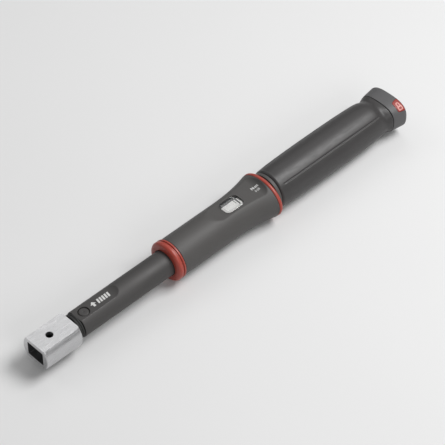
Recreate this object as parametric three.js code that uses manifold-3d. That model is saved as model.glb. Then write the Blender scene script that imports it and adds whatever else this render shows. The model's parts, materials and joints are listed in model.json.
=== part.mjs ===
// Click-type torque wrench with a 9 x 12 mm insert socket, 272 mm long. Millimetres, +Z up.
//
// The parts are drawn in tool coordinates: x runs along the wrench's axis from the head's
// front face to the end of the handle, and the axis is y = 0, z = 0. The exported group is
// shifted so that its origin is under the middle of the wrench, on the surface it lies on.

import * as THREE from 'three';
import { mergeVertices } from 'three/addons/utils/BufferGeometryUtils.js';
import Module from 'manifold-3d';

const wasm = await Module();
wasm.setup();

// ---------------------------------------------------------------- driving dimensions

const GAP = 0.3;              // clearance between touching pieces
const ROUND = 32;             // sides of a large turned part
const FINE = 20;              // sides of a small turned part
const TINY = 12;              // sides of the smallest screw
const HEX = 6;
const PAST = 1;               // how far a cutting tool passes the face that it cuts
const FAR = 20;               // beyond the tool's outer surfaces, measured from its axis
const LAP = 0.1;              // overlap of two shapes that are joined into one piece
const WELD = 1e-4;            // vertices closer than this are one vertex

const LENGTH = 272;
const SEAT = 12.7 * Math.cos(Math.PI / ROUND);   // height of the axis above the surface it lies on

const HEAD = { radius: 10, length: 24.8, flat: 6.9, chamfer: 0.6, rim: 1.2 };
const SOCKET = { width: 12.1, height: 9.1, depth: 20, catchX: 10.2, catchRadius: 2.15 };
const LEVER = { neck: 5.3, coneStart: 40, coneEnd: 44, half: 2.6, end: 79.1 };
const PIVOT = { x: 33.9, radius: 3, top: 6.3, bottom: -7.3 };
const SEAL = { start: 25.4, end: 28.2, inner: 5.9, outer: 7.4 };

const TUBE = { start: 28.5, end: 238, outer: 7.8, bore: 5.7 };
const TUBE_FLAT = { height: 6.45, length: 26, ramp: 3 };

const TUMBLER = { x: 81.5, length: 5, width: 4.6, height: 5.2, corner: 2.6 };
const NOTCH = TUMBLER.corner + GAP;
const PLUNGER = { start: 83.9, end: 98, radius: 5.4, spigot: 3.2, spigotEnd: 103 };
const SPRING = { start: 98.3, end: 152.3, mean: 4.35, wire: 0.8, turns: 14, wireSides: 6, stepsPerTurn: 9 };
const SPRING_WASHER = { start: 152.6, end: 153.8, outer: 5.3, bore: 3.4 };

const TRAVEL = 12.25;         // of the adjusting nut: 12.25 turns of a 1 mm pitch
const NUT = {
  start: 154.1, end: 164.8, radius: 5.4, bore: 3.3, keyStart: 160.3, keyWidth: 3.6, keyTop: 7.8,
};
const SCALE = { start: 135.5, width: 9.4, bottom: 8.1, top: 8.8 };
const SCALE_SCREW = { x: 162.8, shank: 0.8, head: 1.4, recess: 1.7, rise: 0.2, tip: 5.9 };
const KEY_SLOT = { width: 4.2, spare: 0.5 };

const SPINDLE = {
  start: 138, radius: 3, chamfer: 0.5, collarStart: 219, collarEnd: 221.5, collar: 5.3,
  hexStart: 246, end: 259.5, hexFlats: 5,
};
const BEARING = { outer: 5.3, bore: 3.4, race: 1, cage: 2, plateInset: 0.5, pitchRadius: 4.35 };
const BALL = { count: 8, radius: 0.95, around: 8, along: 5 };
const PLUG = {
  bodyEnd: 238.3, radius: 5.4, bore: 3.3, flangeEnd: 241.5, flange: 9.3, nose: 6.6, noseTip: 6.1, end: 245,
};

const RING_BORE = TUBE.outer + GAP;
const FRONT_RING = {
  start: 92.2, end: 97.3, profile: [[92.2, 8.7], [93, 10.7], [94.3, 11.9], [95.8, 12.2], [97.3, 12]],
};
const REAR_RING = { start: 165.9, end: 168, halfWidth: 15.6, halfHeight: 12.5, edge: 0.35 };

// Outer sections are [x, half width, half height, squareness], the last only where it isn't 2.
const SLEEVE_STATIONS = [
  [97.6, 11.3, 11.3], [98.2, 11.6, 11.6], [135, 11.6, 11.6], [143, 11.8, 11.6], [150, 12.3, 11.7],
  [155, 12.9, 11.8], [159, 13.6, 12], [162.5, 14.5, 12.2], [165.6, 15.4, 12.4],
];
const SLEEVE_FLAT = {
  height: 9.8, start: 124, startHeight: 11.7, rampEnd: 131,
  curveStart: 160.5, curveRadius: 5.5, curveEndAngle: -0.15,
};
const WINDOW = { x: 142.7, length: 13.6, width: 9.6, corner: 3 };
const LENS = { bottom: 9.1, top: 10.1 };
const SCALE_CHANNEL = { width: 10, top: 9.1, start: 119 };
const SLEEVE_SCREW = {
  x: 106, head: 2.6, shank: 1.25, headTop: -9.9, headBottom: -11.1, tip: -6.3,
  socket: 1.1, socketDepth: 0.7,
};

const GRIP_WASHER = { start: 168.3, end: 169, outer: 11 };
const CORE = {
  start: 169.3, flangeEnd: 171.5, flange: 11.5, outer: 10.3, end: 246.5, shoulder: 237.9, rearBore: 9.6,
};
const BUSH = { start: 169.6, end: 181.7, outer: 9.2 };
const SHELL_STATIONS = [
  [171.8, 12, 11.9], [174, 12.1, 12], [178, 12.5, 12.3], [185, 12.8, 12.5], [200, 13.1, 12.7],
  [215, 13.2, 12.7], [232, 13.1, 12.6], [244, 12.8, 12.4], [250, 12.5, 12.15], [253, 12.3, 11.75, 2.05],
  [255.4, 12.1, 10.9, 2.2], [257.6, 12.1, 10.05, 2.4], [259.6, 12.4, 9.7, 2.6], [261.6, 12.85, 9.6, 2.7],
];
const SHELL_BORE = { front: 10.6, stepX: 247, rear: 8.2 };
const GRIP_PIN = { x: 200, radius: 1.25, top: -8.6, bottom: -12.3 };

const LOCK_SLEEVE = {
  start: 242, end: 261.7, outer: 7.9, cavity: 7, webStart: 250, webEnd: 254.5, bore: 3.9, hexFlats: 5.6,
};
const DETENT = { start: 256, end: 257.4, inner: 8.1, outer: 8.6, groove: 8.9, opening: 7.7 };
const CAP_STATIONS = [
  [262, 12.95, 9.6, 2.8], [265, 13.4, 9.7, 2.8], [268, 13.8, 9.85, 2.8],
  [270.6, 14.2, 9.95, 2.8], [271.5, 13.9, 9.7, 2.8], [272, 13.2, 8.9, 2.8],
];
const CAP_BORE = { radius: 3.9, end: 268 };
const CAP_SCREW = {
  y: 5.9, shank: 1.1, head: 2.1, headStart: 269.4, headEnd: 271.2, tip: 255.5, hexFlats: 2, socketDepth: 1,
};
const MARK = { x: 268.8, length: 4.8, front: 6, rear: 8, depth: 0.9, tilt: 50 };

// ---------------------------------------------------------------- finishes

const FINISHES = {
  satinChrome: { color: 0xd9d9dc, roughness: 0.3, metalness: 1 },
  blackSteel: { color: 0x2b2b2c, roughness: 0.45, metalness: 0.8 },
  steel: { color: 0xa6a8ab, roughness: 0.35, metalness: 1 },
  springSteel: { color: 0x6d6f73, roughness: 0.4, metalness: 1 },
  brass: { color: 0xb8974a, roughness: 0.35, metalness: 1 },
  rubber: { color: 0x161616, roughness: 0.85, metalness: 0 },
  greyPlastic: { color: 0x3a3a3b, roughness: 0.6, metalness: 0 },
  blackPlastic: { color: 0x222223, roughness: 0.4, metalness: 0 },
  redPlastic: { color: 0xb5251b, roughness: 0.35, metalness: 0 },
  whitePlastic: { color: 0xf0efe9, roughness: 0.5, metalness: 0 },
  clearPlastic: { color: 0xf4f8fa, roughness: 0.08, metalness: 0, transparent: true, opacity: 0.35 },
};

// ---------------------------------------------------------------- solids and booleans

// A closed three.js geometry as a manifold solid.
function solid(geometry) {
  const bare = geometry.clone();
  bare.deleteAttribute('normal');
  bare.deleteAttribute('uv');
  const merged = mergeVertices(bare, WELD);
  const index = merged.index.array;
  const triangles = [];
  for (let i = 0; i < index.length; i += 3) {
    const [a, b, c] = index.slice(i, i + 3);
    if (a !== b && b !== c && c !== a) triangles.push(a, b, c);
  }
  return new wasm.Manifold(new wasm.Mesh({
    numProp: 3,
    vertProperties: new Float32Array(merged.attributes.position.array),
    triVerts: new Uint32Array(triangles),
  }));
}

function geometryOf(shape) {
  const mesh = shape.getMesh();
  const geometry = new THREE.BufferGeometry();
  geometry.setAttribute('position', new THREE.BufferAttribute(mesh.vertProperties, 3));
  geometry.setIndex(new THREE.BufferAttribute(mesh.triVerts, 1));
  geometry.computeVertexNormals();
  return geometry;
}

const cut = (shape, ...tools) => tools.reduce((rest, tool) => rest.subtract(tool), shape);
const join = (shape, ...others) => others.reduce((all, other) => all.add(other), shape);

// A solid of revolution about the tool's axis: [x, radius] points, forwards along the outside.
function turnedGeometry(profile, sides) {
  const points = profile.map(([x, radius]) => new THREE.Vector2(radius, x));
  const geometry = new THREE.LatheGeometry(points, sides, Math.PI / sides);
  geometry.rotateZ(-Math.PI / 2);
  return geometry;
}

const turned = (profile, sides = ROUND) => solid(turnedGeometry(profile, sides));

const rod = (start, end, radius, sides = ROUND) =>
  turned([[start, 0], [start, radius], [end, radius], [end, 0]], sides);

const ring = (start, end, inner, outer, sides = ROUND) =>
  turned([[start, outer], [end, outer], [end, inner], [start, inner], [start, outer]], sides);

// A bar along x whose sections are ovals; squareness 2 is an ellipse, more is squarer.
function ovalBar(stations) {
  const first = stations[0];
  const last = stations[stations.length - 1];
  const profile = [[first[0], 0], ...stations.map(([x, width]) => [x, width]), [last[0], 0]];
  const geometry = turnedGeometry(profile, ROUND);
  const position = geometry.attributes.position;
  const rounded = (value, squareness) => Math.sign(value) * Math.abs(value) ** (2 / squareness);
  for (let i = 0; i < position.count; i += 1) {
    const x = position.getX(i);
    const station = stations.find(([at]) => Math.abs(at - x) < 1e-3);
    const [, width, height, squareness = 2] = station;
    position.setY(i, rounded(position.getY(i) / width, squareness) * width);
    position.setZ(i, rounded(position.getZ(i) / width, squareness) * height);
  }
  return solid(geometry);
}

function box(x0, x1, y0, y1, z0, z1) {
  const geometry = new THREE.BoxGeometry(x1 - x0, y1 - y0, z1 - z0);
  geometry.translate((x0 + x1) / 2, (y0 + y1) / 2, (z0 + z1) / 2);
  return solid(geometry);
}

const centredBox = (x0, x1, width, z0, z1) => box(x0, x1, -width / 2, width / 2, z0, z1);

function upright(x, y, bottom, top, radius, sides = FINE) {
  const geometry = new THREE.CylinderGeometry(radius, radius, top - bottom, sides);
  geometry.rotateX(Math.PI / 2);
  geometry.translate(x, y, (bottom + top) / 2);
  return solid(geometry);
}

// A hexagonal bar along x, its size given across the flats.
function hexBar(start, end, flats) {
  const radius = flats / Math.sqrt(3);
  const geometry = new THREE.CylinderGeometry(radius, radius, end - start, HEX);
  geometry.rotateZ(Math.PI / 2);
  geometry.translate((start + end) / 2, 0, 0);
  return solid(geometry);
}

// A level slab with rounded corners, as much smaller all round as inset: the window and its lens.
function windowSlab(inset, bottom, top) {
  const radius = WINDOW.corner - inset;
  const x = WINDOW.length / 2 - WINDOW.corner;
  const y = WINDOW.width / 2 - WINDOW.corner;
  const outline = new THREE.Shape();
  outline.absarc(x, y, radius, 0, Math.PI / 2);
  outline.absarc(-x, y, radius, Math.PI / 2, Math.PI);
  outline.absarc(-x, -y, radius, Math.PI, 1.5 * Math.PI);
  outline.absarc(x, -y, radius, 1.5 * Math.PI, 2 * Math.PI);
  outline.closePath();
  const depth = top - bottom;
  const geometry = new THREE.ExtrudeGeometry(outline, { depth, bevelEnabled: false, curveSegments: 5 });
  geometry.translate(WINDOW.x, 0, bottom);
  return solid(geometry);
}

// A side view drawn in x and z, given a width across the tool.
function sideCut(outline, width) {
  const shape = { depth: width, bevelEnabled: false, curveSegments: 5 };
  const geometry = new THREE.ExtrudeGeometry(outline, shape);
  geometry.rotateX(Math.PI / 2);
  geometry.translate(0, width / 2, 0);
  return solid(geometry);
}

function mirroredBelow(shape) {
  return shape.rotate([180, 0, 0]);
}

// ---------------------------------------------------------------- assembly

const wrench = new THREE.Group();
wrench.position.set(-LENGTH / 2, 0, SEAT);

const assemblies = {};
for (const name of ['frame', 'head', 'clickGear', 'setting', 'grip', 'lock']) {
  assemblies[name] = new THREE.Group();
  wrench.add(assemblies[name]);
}

function addPart(assembly, name, finish, shape) {
  const material = new THREE.MeshStandardMaterial(FINISHES[finish]);
  const mesh = new THREE.Mesh(geometryOf(shape), material);
  mesh.name = name;
  assemblies[assembly].add(mesh);
}

// ---------------------------------------------------------------- head and pivot

// A round bar with two flats, the insert socket in its front, and the lever behind it.
function headReceptacle() {
  const { radius, length, flat, chamfer, rim } = HEAD;
  const bar = turned([
    [0, 0], [0, radius - chamfer], [chamfer, radius], [length - rim, radius],
    [length - rim / 3, radius - rim / 3], [length, radius - rim], [length, 0],
  ]);
  const flattened = bar.intersect(centredBox(-PAST, length + PAST, 2 * FAR, -flat, flat));
  const neck = turned([
    [length - PAST, 0], [length - PAST, LEVER.neck], [LEVER.coneStart, LEVER.neck],
    [LEVER.coneEnd, LEVER.half], [LEVER.coneEnd, 0],
  ]);
  const arm = centredBox(LEVER.coneStart - PAST, LEVER.end, 2 * LEVER.half, -LEVER.half, LEVER.half);
  return cut(
    join(flattened, neck, arm),
    centredBox(-PAST, SOCKET.depth, SOCKET.width, -SOCKET.height / 2, SOCKET.height / 2),
    upright(SOCKET.catchX, 0, 0, FAR, SOCKET.catchRadius),
    upright(PIVOT.x, 0, -FAR, FAR, PIVOT.radius + GAP),
    upright(TUMBLER.x, 0, -FAR, FAR, NOTCH),
  );
}

const pivotPin = () => upright(PIVOT.x, 0, PIVOT.bottom, PIVOT.top, PIVOT.radius);
const headSeal = () => ring(SEAL.start, SEAL.end, SEAL.inner, SEAL.outer);

// ---------------------------------------------------------------- tube

// The flat on the front of the tube, with a sloping run-out.
function tubeFlatCutter() {
  const end = TUBE.start + TUBE_FLAT.length;
  const outline = new THREE.Shape();
  outline.moveTo(TUBE.start - PAST, TUBE_FLAT.height);
  outline.lineTo(end, TUBE_FLAT.height);
  outline.lineTo(end + TUBE_FLAT.ramp, TUBE.outer);
  outline.lineTo(end + TUBE_FLAT.ramp, FAR);
  outline.lineTo(TUBE.start - PAST, FAR);
  outline.closePath();
  return sideCut(outline, 2 * FAR);
}

function keySlot() {
  const front = NUT.keyStart - TRAVEL - KEY_SLOT.spare;
  return centredBox(front, NUT.end + KEY_SLOT.spare, KEY_SLOT.width, 0, FAR);
}

function mainTube() {
  return cut(
    ring(TUBE.start, TUBE.end, TUBE.bore, TUBE.outer),
    tubeFlatCutter(),
    keySlot(),
    upright(PIVOT.x, 0, -FAR, FAR, PIVOT.radius + GAP),
    upright(SLEEVE_SCREW.x, 0, -FAR, 0, SLEEVE_SCREW.shank + GAP),
  );
}

// ---------------------------------------------------------------- click mechanism

// A block with its corners rounded off, so that it can tip between lever and plunger.
function tumblerBlock() {
  const { x, length, width, height, corner } = TUMBLER;
  const block = centredBox(x - length / 2, x + length / 2, width, -height / 2, height / 2);
  return block.intersect(upright(x, 0, -height, height, corner));
}

function plunger() {
  const body = turned([
    [PLUNGER.start, 0], [PLUNGER.start, PLUNGER.radius], [PLUNGER.end, PLUNGER.radius],
    [PLUNGER.end, PLUNGER.spigot], [PLUNGER.spigotEnd, PLUNGER.spigot], [PLUNGER.spigotEnd, 0],
  ], FINE);
  return cut(body, upright(TUMBLER.x, 0, -FAR, FAR, NOTCH));
}

class Helix extends THREE.Curve {
  constructor(start, end, radius, turns) {
    super();
    Object.assign(this, { start, end, radius, turns });
  }

  getPoint(t, target = new THREE.Vector3()) {
    const angle = 2 * Math.PI * this.turns * t;
    const x = THREE.MathUtils.lerp(this.start, this.end, t);
    return target.set(x, this.radius * Math.cos(angle), this.radius * Math.sin(angle));
  }
}

function polygon(radius, sides) {
  const corners = Array.from({ length: sides }, (_, i) => {
    const angle = (2 * Math.PI * i) / sides;
    return new THREE.Vector2(radius * Math.cos(angle), radius * Math.sin(angle));
  });
  return new THREE.Shape(corners);
}

function mainSpring() {
  const { start, end, mean, wire, turns, wireSides, stepsPerTurn } = SPRING;
  const path = new Helix(start + wire, end - wire, mean, turns);
  return solid(new THREE.ExtrudeGeometry(polygon(wire, wireSides), {
    steps: turns * stepsPerTurn, extrudePath: path,
  }));
}

// ---------------------------------------------------------------- setting mechanism

const springWasher = () =>
  ring(SPRING_WASHER.start, SPRING_WASHER.end, SPRING_WASHER.bore, SPRING_WASHER.outer, FINE);

const scaleScrewHole = () =>
  upright(SCALE_SCREW.x, 0, SCALE_SCREW.tip - GAP, FAR, SCALE_SCREW.shank + GAP, TINY);

// The nut slides in the tube; its key stands up through the tube's slot to the scale slide.
function adjustingNut() {
  const body = rod(NUT.start, NUT.end, NUT.radius, FINE);
  const key = centredBox(NUT.keyStart, NUT.end, NUT.keyWidth, 0, NUT.keyTop);
  return cut(join(body, key), rod(NUT.start - PAST, NUT.end + PAST, NUT.bore, FINE), scaleScrewHole());
}

function scaleSlide() {
  const plate = centredBox(SCALE.start, NUT.end, SCALE.width, SCALE.bottom, SCALE.top);
  const recess = upright(SCALE_SCREW.x, 0, SCALE.top - SCALE_SCREW.rise, FAR, SCALE_SCREW.recess, FINE);
  return cut(plate, scaleScrewHole(), recess);
}

function scaleScrew() {
  const { x, shank, head, rise, tip } = SCALE_SCREW;
  return join(
    upright(x, 0, tip, SCALE.top, shank, TINY),
    upright(x, 0, SCALE.top - LAP, SCALE.top + rise, head, FINE),
  );
}

function adjustingSpindle() {
  const { start, radius, chamfer, collarStart, collarEnd, collar, hexStart, end, hexFlats } = SPINDLE;
  const shaft = turned([
    [start, 0], [start, radius - chamfer], [start + chamfer, radius], [collarStart, radius],
    [collarStart, collar], [collarEnd, collar], [collarEnd, radius], [hexStart, radius], [hexStart, 0],
  ], FINE);
  return join(shaft, hexBar(hexStart - PAST, end, hexFlats));
}

// ---------------------------------------------------------------- thrust bearing

const RACE_FRONT_X = SPINDLE.collarEnd + GAP;
const CAGE_X = RACE_FRONT_X + BEARING.race + GAP;
const RACE_REAR_X = CAGE_X + BEARING.cage + GAP;
const PLUG_START = RACE_REAR_X + BEARING.race + GAP;

const thrustRace = (x) => ring(x, x + BEARING.race, BEARING.bore, BEARING.outer, FINE);

// The cage is a thin ring that the balls stand out of on both sides.
function thrustBallCage() {
  const { cage, plateInset, bore, outer, pitchRadius } = BEARING;
  const plate = ring(CAGE_X + plateInset, CAGE_X + cage - plateInset, bore, outer, FINE);
  const balls = Array.from({ length: BALL.count }, (_, i) => {
    const angle = (2 * Math.PI * i) / BALL.count;
    const ball = new THREE.SphereGeometry(BALL.radius, BALL.around, BALL.along);
    ball.translate(CAGE_X + cage / 2, pitchRadius * Math.cos(angle), pitchRadius * Math.sin(angle));
    return solid(ball);
  });
  return join(plate, ...balls);
}

// Its body is inside the tube, its flange keeps the grip on, and the lock wedges on its nose.
function bearingPlug() {
  return turned([
    [PLUG_START, PLUG.radius], [PLUG.bodyEnd, PLUG.radius], [PLUG.bodyEnd, PLUG.flange],
    [PLUG.flangeEnd, PLUG.flange], [PLUG.flangeEnd, PLUG.nose], [PLUG.end, PLUG.noseTip],
    [PLUG.end, PLUG.bore], [PLUG_START, PLUG.bore], [PLUG_START, PLUG.radius],
  ]);
}

// ---------------------------------------------------------------- sleeve, rings and window

function frontRing() {
  const { start, end, profile } = FRONT_RING;
  return turned([...profile, [end, RING_BORE], [start, RING_BORE], profile[0]]);
}

function rearRing() {
  const { start, end, halfWidth, halfHeight, edge } = REAR_RING;
  const middle = (start + end) / 2;
  const outside = ovalBar([
    [start, halfWidth - edge, halfHeight - edge], [middle - edge, halfWidth, halfHeight],
    [middle + edge, halfWidth, halfHeight], [end, halfWidth - edge, halfHeight - edge],
  ]);
  return cut(outside, rod(start - PAST, end + PAST, RING_BORE));
}

// Takes away what is above the sleeve's flat; its rear end sweeps up to the flare.
function sleeveFlatCutter() {
  const { height, start, startHeight, rampEnd, curveStart, curveRadius, curveEndAngle } = SLEEVE_FLAT;
  const outline = new THREE.Shape();
  outline.moveTo(start, startHeight);
  outline.lineTo(rampEnd, height);
  outline.lineTo(curveStart, height);
  outline.absarc(curveStart, height + curveRadius, curveRadius, -Math.PI / 2, curveEndAngle);
  outline.lineTo(curveStart + curveRadius, FAR);
  outline.lineTo(start, FAR);
  outline.closePath();
  return sideCut(outline, 2 * FAR);
}

function sleeve() {
  const outside = ovalBar(SLEEVE_STATIONS);
  const start = SLEEVE_STATIONS[0][0];
  const end = REAR_RING.start;
  const screwX = SLEEVE_SCREW.x;
  return cut(
    outside,
    sleeveFlatCutter(),
    mirroredBelow(sleeveFlatCutter()),
    rod(start - PAST, end, RING_BORE),
    centredBox(SCALE_CHANNEL.start, end, SCALE_CHANNEL.width, 0, SCALE_CHANNEL.top),
    windowSlab(0, 0, FAR),
    upright(screwX, 0, -FAR, SLEEVE_SCREW.headTop + GAP, SLEEVE_SCREW.head + GAP),
    upright(screwX, 0, -FAR, 0, SLEEVE_SCREW.shank + GAP),
  );
}

const windowLens = () => windowSlab(GAP, LENS.bottom, LENS.top);

function sleeveScrew() {
  const { x, head, shank, headTop, headBottom, tip, socket, socketDepth } = SLEEVE_SCREW;
  return cut(
    join(upright(x, 0, headBottom, headTop, head), upright(x, 0, headTop - LAP, tip, shank)),
    upright(x, 0, -FAR, headBottom + socketDepth, socket, HEX),
  );
}

// ---------------------------------------------------------------- grip

const gripWasher = () => ring(GRIP_WASHER.start, GRIP_WASHER.end, RING_BORE, GRIP_WASHER.outer);

const gripPinHole = () => upright(GRIP_PIN.x, 0, -FAR, GRIP_PIN.top + GAP, GRIP_PIN.radius + GAP);

function gripCore() {
  const bushBore = BUSH.outer + GAP;
  const body = turned([
    [CORE.start, CORE.flange], [CORE.flangeEnd, CORE.flange], [CORE.flangeEnd, CORE.outer],
    [CORE.end, CORE.outer], [CORE.end, CORE.rearBore], [CORE.shoulder, CORE.rearBore],
    [CORE.shoulder, RING_BORE], [BUSH.end + GAP, RING_BORE], [BUSH.end + GAP, bushBore],
    [CORE.start, bushBore], [CORE.start, CORE.flange],
  ]);
  return cut(body, gripPinHole());
}

const gripBush = () => ring(BUSH.start, BUSH.end, RING_BORE, BUSH.outer);

function gripShell() {
  const start = SHELL_STATIONS[0][0];
  const end = LOCK_SLEEVE.end;
  return cut(
    ovalBar(SHELL_STATIONS),
    rod(start - PAST, SHELL_BORE.stepX, SHELL_BORE.front),
    rod(start - PAST, end, SHELL_BORE.rear),
    rod(DETENT.start - GAP, DETENT.end + GAP, DETENT.groove),
    gripPinHole(),
  );
}

const gripPin = () => upright(GRIP_PIN.x, 0, GRIP_PIN.bottom, GRIP_PIN.top, GRIP_PIN.radius);

// An open spring ring in the shell's groove, round the lock sleeve.
function detentRing() {
  const whole = ring(DETENT.start, DETENT.end, DETENT.inner, DETENT.outer);
  return cut(whole, centredBox(DETENT.start - PAST, DETENT.end + PAST, DETENT.opening, 0, FAR));
}

// ---------------------------------------------------------------- lock

const SIDES = [-1, 1];
const besideAxis = (side, shape) => shape.translate([0, side * CAP_SCREW.y, 0]);
const capScrewRod = (side, start, end, radius) => besideAxis(side, rod(start, end, radius, FINE));

// A cup over the plug's nose; the hexagon hole in its web drives the spindle.
function lockSleeve() {
  const { start, end, outer, cavity, webStart, webEnd, bore, hexFlats } = LOCK_SLEEVE;
  const body = turned([
    [start, outer], [end, outer], [end, bore], [webEnd, bore], [webEnd, 0],
    [webStart, 0], [webStart, cavity], [start, cavity], [start, outer],
  ]);
  const screwHoles = SIDES.map((side) =>
    capScrewRod(side, CAP_SCREW.tip - GAP, end + PAST, CAP_SCREW.shank + GAP));
  return cut(body, hexBar(webStart - PAST, webEnd + PAST, hexFlats), ...screwHoles);
}

const shrunk = (stations, by) =>
  stations.map(([x, width, height, squareness]) => [x, width - by, height - by, squareness]);

// A trapezium seen square to the cap's upper shoulder, as a block that reaches into the cap.
function markBlock(margin) {
  const half = MARK.length / 2 + margin;
  const front = MARK.front / 2 + margin;
  const rear = MARK.rear / 2 + margin;
  const outline = new THREE.Shape([
    new THREE.Vector2(-half, -front), new THREE.Vector2(half, -rear),
    new THREE.Vector2(half, rear), new THREE.Vector2(-half, front),
  ]);
  const geometry = new THREE.ExtrudeGeometry(outline, { depth: FAR, bevelEnabled: false });
  geometry.rotateX(THREE.MathUtils.degToRad(MARK.tilt));
  geometry.translate(MARK.x, 0, 0);
  return solid(geometry);
}

function lockCap() {
  const outside = ovalBar(CAP_STATIONS);
  const belowMark = ovalBar(shrunk(CAP_STATIONS, MARK.depth));
  const pocket = markBlock(GAP).subtract(belowMark);
  const end = CAP_STATIONS[CAP_STATIONS.length - 1][0];
  const screwHoles = SIDES.flatMap((side) => [
    capScrewRod(side, 0, end, CAP_SCREW.shank + GAP),
    capScrewRod(side, CAP_SCREW.headStart - GAP, end + PAST, CAP_SCREW.head + GAP),
  ]);
  return cut(outside, pocket, rod(0, CAP_BORE.end, CAP_BORE.radius), ...screwHoles);
}

function lockMark() {
  const outside = ovalBar(CAP_STATIONS);
  const belowMark = ovalBar(shrunk(CAP_STATIONS, MARK.depth - GAP));
  return outside.intersect(markBlock(0)).subtract(belowMark);
}

function capScrew(side) {
  const { tip, headStart, headEnd, head, shank, hexFlats, socketDepth } = CAP_SCREW;
  const body = join(
    capScrewRod(side, headStart, headEnd, head),
    capScrewRod(side, tip, headStart + LAP, shank),
  );
  return cut(body, besideAxis(side, hexBar(headEnd - socketDepth, headEnd + PAST, hexFlats)));
}

// ---------------------------------------------------------------- parts list

addPart('head', 'head_receptacle', 'satinChrome', headReceptacle());
addPart('frame', 'pivot_pin', 'blackSteel', pivotPin());
addPart('frame', 'head_seal', 'rubber', headSeal());
addPart('frame', 'tube', 'blackSteel', mainTube());
addPart('clickGear', 'tumbler_block', 'steel', tumblerBlock());
addPart('clickGear', 'plunger', 'steel', plunger());
addPart('clickGear', 'main_spring', 'springSteel', mainSpring());
addPart('setting', 'spring_washer', 'steel', springWasher());
addPart('setting', 'adjusting_nut', 'brass', adjustingNut());
addPart('setting', 'scale_slide', 'whitePlastic', scaleSlide());
addPart('setting', 'scale_screw', 'steel', scaleScrew());
addPart('grip', 'adjusting_spindle', 'steel', adjustingSpindle());
addPart('grip', 'thrust_race_front', 'steel', thrustRace(RACE_FRONT_X));
addPart('grip', 'thrust_ball_cage', 'brass', thrustBallCage());
addPart('frame', 'thrust_race_rear', 'steel', thrustRace(RACE_REAR_X));
addPart('frame', 'bearing_plug', 'steel', bearingPlug());
addPart('frame', 'front_ring', 'redPlastic', frontRing());
addPart('frame', 'sleeve', 'greyPlastic', sleeve());
addPart('frame', 'sleeve_screw', 'blackSteel', sleeveScrew());
addPart('frame', 'window_lens', 'clearPlastic', windowLens());
addPart('frame', 'rear_ring', 'redPlastic', rearRing());
addPart('frame', 'grip_washer', 'blackPlastic', gripWasher());
addPart('grip', 'grip_core', 'greyPlastic', gripCore());
addPart('grip', 'grip_bush', 'whitePlastic', gripBush());
addPart('grip', 'grip_shell', 'blackPlastic', gripShell());
addPart('grip', 'grip_pin', 'steel', gripPin());
addPart('grip', 'detent_ring', 'springSteel', detentRing());
addPart('lock', 'lock_sleeve', 'steel', lockSleeve());
addPart('lock', 'lock_cap', 'blackPlastic', lockCap());
addPart('lock', 'lock_mark', 'redPlastic', lockMark());
addPart('lock', 'cap_screw_left', 'blackSteel', capScrew(-1));
addPart('lock', 'cap_screw_right', 'blackSteel', capScrew(1));

export default wrench;
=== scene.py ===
import json
import math

import bmesh
import bpy
from mathutils import Matrix, Vector


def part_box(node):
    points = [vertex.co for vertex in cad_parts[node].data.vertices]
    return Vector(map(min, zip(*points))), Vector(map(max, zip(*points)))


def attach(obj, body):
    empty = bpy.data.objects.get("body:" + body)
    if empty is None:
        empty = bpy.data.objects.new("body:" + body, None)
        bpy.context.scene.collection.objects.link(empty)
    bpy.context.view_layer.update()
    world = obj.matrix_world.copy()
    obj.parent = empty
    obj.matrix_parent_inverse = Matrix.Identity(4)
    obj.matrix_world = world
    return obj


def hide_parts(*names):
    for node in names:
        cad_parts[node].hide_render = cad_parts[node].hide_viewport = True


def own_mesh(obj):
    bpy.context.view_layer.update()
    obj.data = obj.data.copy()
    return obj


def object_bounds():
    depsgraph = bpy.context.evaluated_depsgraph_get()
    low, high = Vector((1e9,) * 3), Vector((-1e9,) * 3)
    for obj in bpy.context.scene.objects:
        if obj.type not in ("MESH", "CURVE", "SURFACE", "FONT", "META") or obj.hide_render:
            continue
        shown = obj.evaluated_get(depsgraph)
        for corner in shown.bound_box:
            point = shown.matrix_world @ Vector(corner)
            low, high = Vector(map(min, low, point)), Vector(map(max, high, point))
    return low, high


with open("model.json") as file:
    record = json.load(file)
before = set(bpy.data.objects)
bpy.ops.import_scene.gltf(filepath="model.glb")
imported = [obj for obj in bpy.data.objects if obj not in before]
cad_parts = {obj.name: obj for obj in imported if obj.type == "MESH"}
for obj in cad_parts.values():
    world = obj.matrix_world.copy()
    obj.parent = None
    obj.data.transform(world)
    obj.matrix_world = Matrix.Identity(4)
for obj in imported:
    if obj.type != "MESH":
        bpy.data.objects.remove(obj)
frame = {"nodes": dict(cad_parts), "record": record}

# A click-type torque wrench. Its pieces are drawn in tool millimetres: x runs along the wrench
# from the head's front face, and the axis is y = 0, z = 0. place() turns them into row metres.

CAD_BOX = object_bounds()
MM = 0.001


# ---------------------------------------------------------------- camera

# Where the camera stands, which way is up for it, and its focal length in millimetres.
VIEW_FROM = Vector((-0.550, -0.5736, 0.8336))
VIEW_UP = Vector((0.4953, 0.5042, 0.7074))
LENS = 167


def add_camera():
    camera = bpy.data.objects.new("camera", bpy.data.cameras.new("camera"))
    bpy.context.collection.objects.link(camera)
    back = (VIEW_FROM - (CAD_BOX[0] + CAD_BOX[1]) / 2).normalized()
    right = VIEW_UP.cross(back).normalized()
    up = back.cross(right)
    turn = Matrix((right, up, back)).transposed()
    camera.matrix_world = Matrix.Translation(VIEW_FROM) @ turn.to_4x4()
    camera.data.lens = LENS
    camera.data.sensor_width = 36
    camera.data.clip_start = 0.01
    bpy.context.scene.camera = camera


add_camera()


# ---------------------------------------------------------------- measures taken from the frame

FRONT_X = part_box("head_receptacle")[0].x
AXIS_Z = (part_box("adjusting_spindle")[0].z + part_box("adjusting_spindle")[1].z) / 2
# Clearance between pieces that move, or that fit into each other.
GAP = 0.3


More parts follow.
